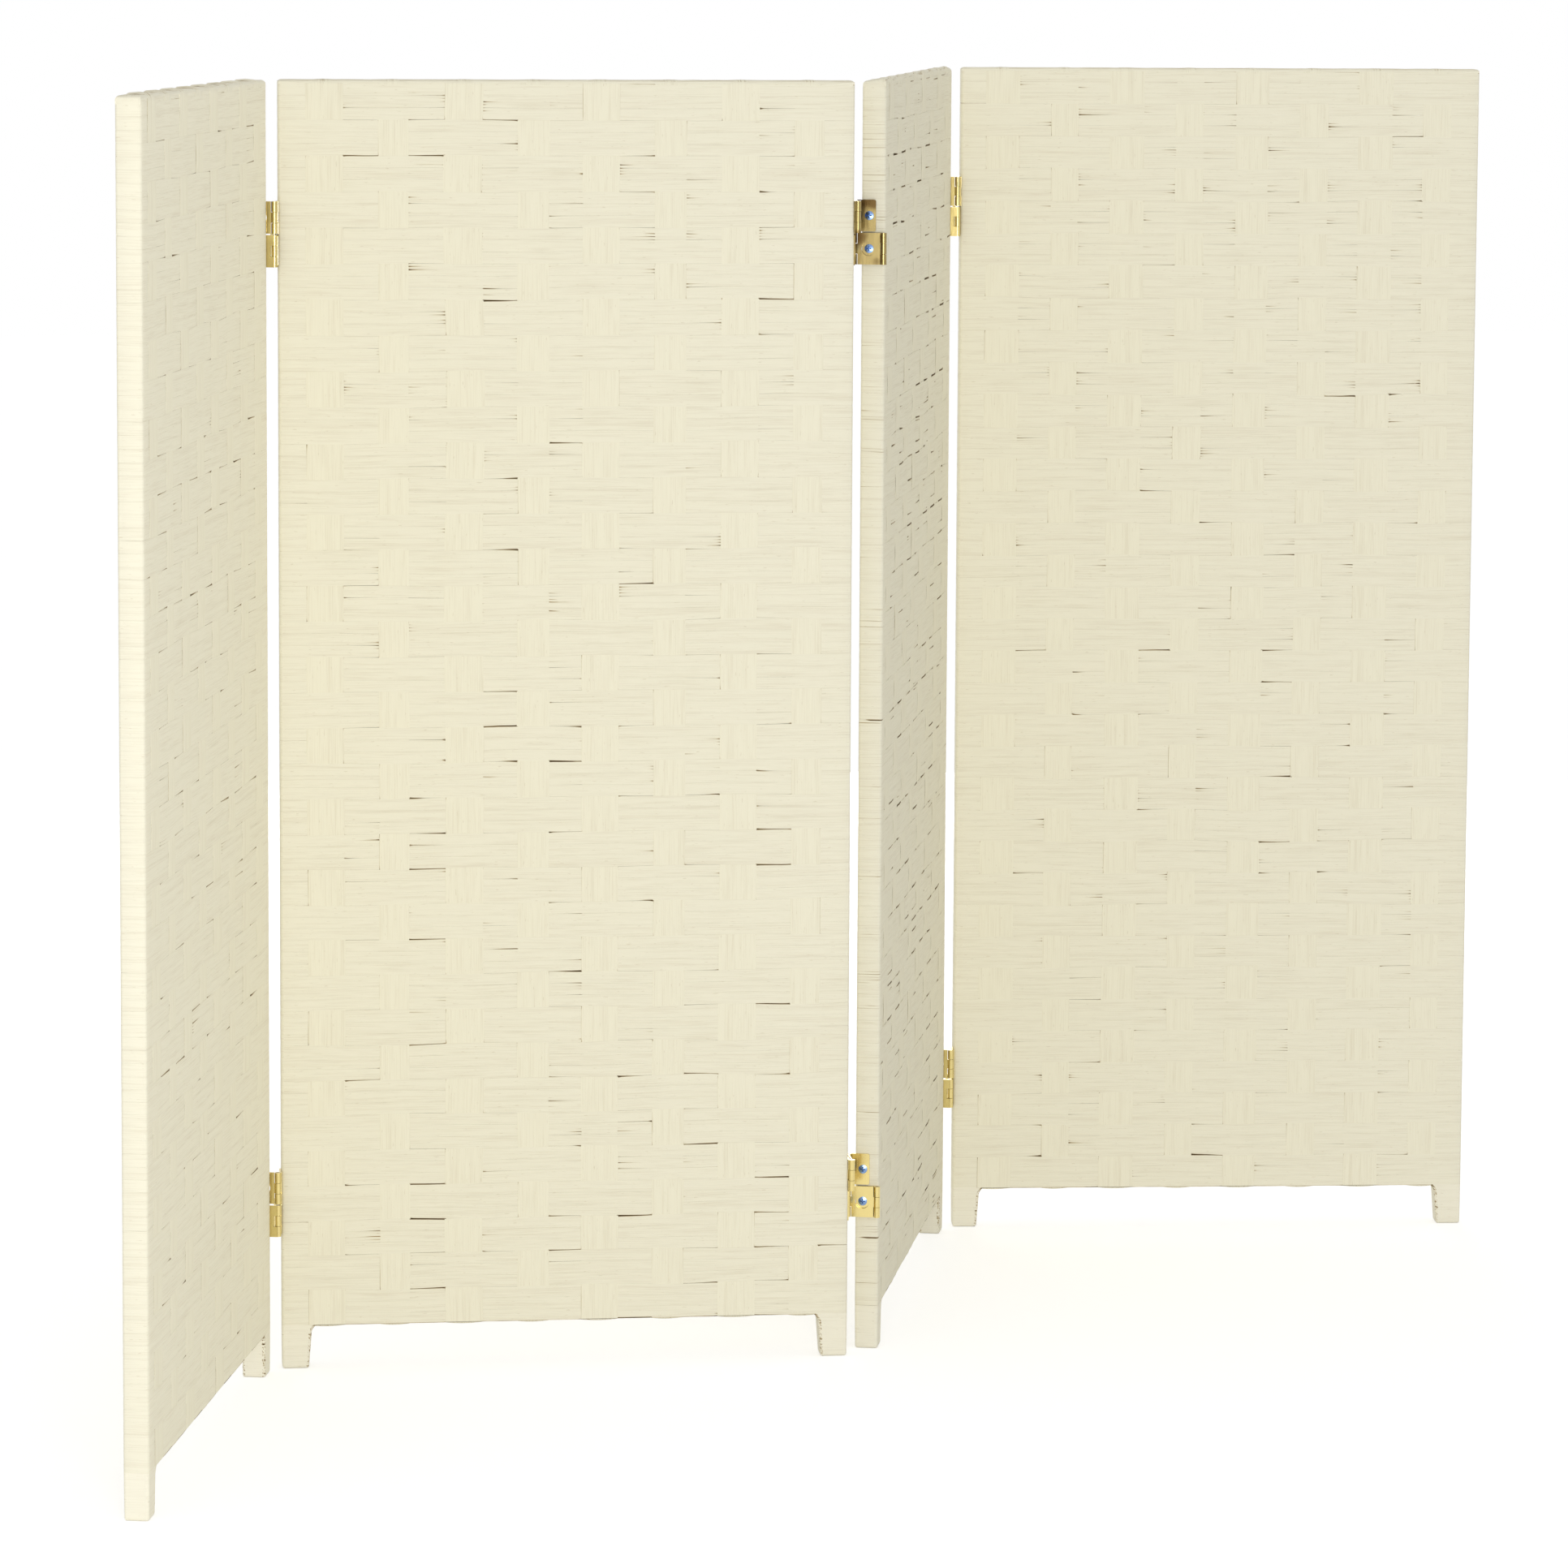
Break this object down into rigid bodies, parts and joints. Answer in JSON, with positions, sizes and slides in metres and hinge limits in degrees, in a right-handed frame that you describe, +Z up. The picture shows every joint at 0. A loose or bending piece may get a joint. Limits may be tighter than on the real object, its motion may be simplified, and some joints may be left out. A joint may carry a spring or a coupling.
{
  "type": "folding screen",
  "caption": "Free-standing room divider of woven fibre panels on wrapped feet, joined by two-way brass hinges so that it stands in a zigzag or folds flat.",
  "frame": {"origin": "on the floor, under the middle of the standing screen's box", "axes": "+X along panel 2 from its left edge to its right edge, -Y to the front, +Z up"},
  "size_m": [1.182, 0.9284, 1.016],
  "materials": {
    "woven_fibre": "matte woven fibre",
    "frame_wood": "plain sawn wood",
    "hinge_brass": "polished sheet brass",
    "zinc_screws": "bright zinc plate"
  },
  "bodies": {
    "panel_1": {"panel_1_left_stile": "frame_wood", "panel_1_right_stile": "frame_wood", "panel_1_top_rail": "frame_wood", "panel_1_bottom_rail": "frame_wood", "panel_1_dowels": "frame_wood", "panel_1_woven_cover": "woven_fibre", "panel_1_left_foot_wrap": "woven_fibre", "panel_1_right_foot_wrap": "woven_fibre", "panel_1_hinge_screws": "zinc_screws", "left_hinge_leaves_panel_1": "hinge_brass", "left_hinge_links_panel_1": "hinge_brass", "left_hinge_pins_panel_1": "hinge_brass"},
    "panel_2": {"panel_2_left_stile": "frame_wood", "panel_2_right_stile": "frame_wood", "panel_2_top_rail": "frame_wood", "panel_2_bottom_rail": "frame_wood", "panel_2_dowels": "frame_wood", "panel_2_woven_cover": "woven_fibre", "panel_2_left_foot_wrap": "woven_fibre", "panel_2_right_foot_wrap": "woven_fibre", "panel_2_hinge_screws": "zinc_screws", "left_hinge_leaves_panel_2": "hinge_brass", "left_hinge_links_panel_2": "hinge_brass", "left_hinge_pins_panel_2": "hinge_brass", "middle_hinge_leaves_panel_2": "hinge_brass", "middle_hinge_links_panel_2": "hinge_brass", "middle_hinge_pins_panel_2": "hinge_brass"},
    "panel_3": {"panel_3_left_stile": "frame_wood", "panel_3_right_stile": "frame_wood", "panel_3_top_rail": "frame_wood", "panel_3_bottom_rail": "frame_wood", "panel_3_dowels": "frame_wood", "panel_3_woven_cover": "woven_fibre", "panel_3_left_foot_wrap": "woven_fibre", "panel_3_right_foot_wrap": "woven_fibre", "panel_3_hinge_screws": "zinc_screws", "middle_hinge_leaves_panel_3": "hinge_brass", "middle_hinge_links_panel_3": "hinge_brass", "middle_hinge_pins_panel_3": "hinge_brass", "right_hinge_leaves_panel_3": "hinge_brass", "right_hinge_links_panel_3": "hinge_brass", "right_hinge_pins_panel_3": "hinge_brass"},
    "panel_4": {"panel_4_left_stile": "frame_wood", "panel_4_right_stile": "frame_wood", "panel_4_top_rail": "frame_wood", "panel_4_bottom_rail": "frame_wood", "panel_4_dowels": "frame_wood", "panel_4_woven_cover": "woven_fibre", "panel_4_left_foot_wrap": "woven_fibre", "panel_4_right_foot_wrap": "woven_fibre", "panel_4_hinge_screws": "zinc_screws", "right_hinge_leaves_panel_4": "hinge_brass", "right_hinge_links_panel_4": "hinge_brass", "right_hinge_pins_panel_4": "hinge_brass"}
  },
  "joints": [
    {"name": "left_fold", "type": "hinge", "parent": "panel_2", "child": "panel_1", "pos_m": [-0.46558, -0.02355, 0], "axis": [0, 0, 1], "range_deg": [-77, 103]},
    {"name": "middle_fold", "type": "hinge", "parent": "panel_2", "child": "panel_3", "pos_m": [-0.00958, 0.00645, 0], "axis": [0, 0, 1], "range_deg": [-75, 105]},
    {"name": "right_fold", "type": "hinge", "parent": "panel_3", "child": "panel_4", "pos_m": [0.13742, 0.43915, 0], "axis": [0, 0, -1], "range_deg": [-78.5, 101.5]}
  ]
}
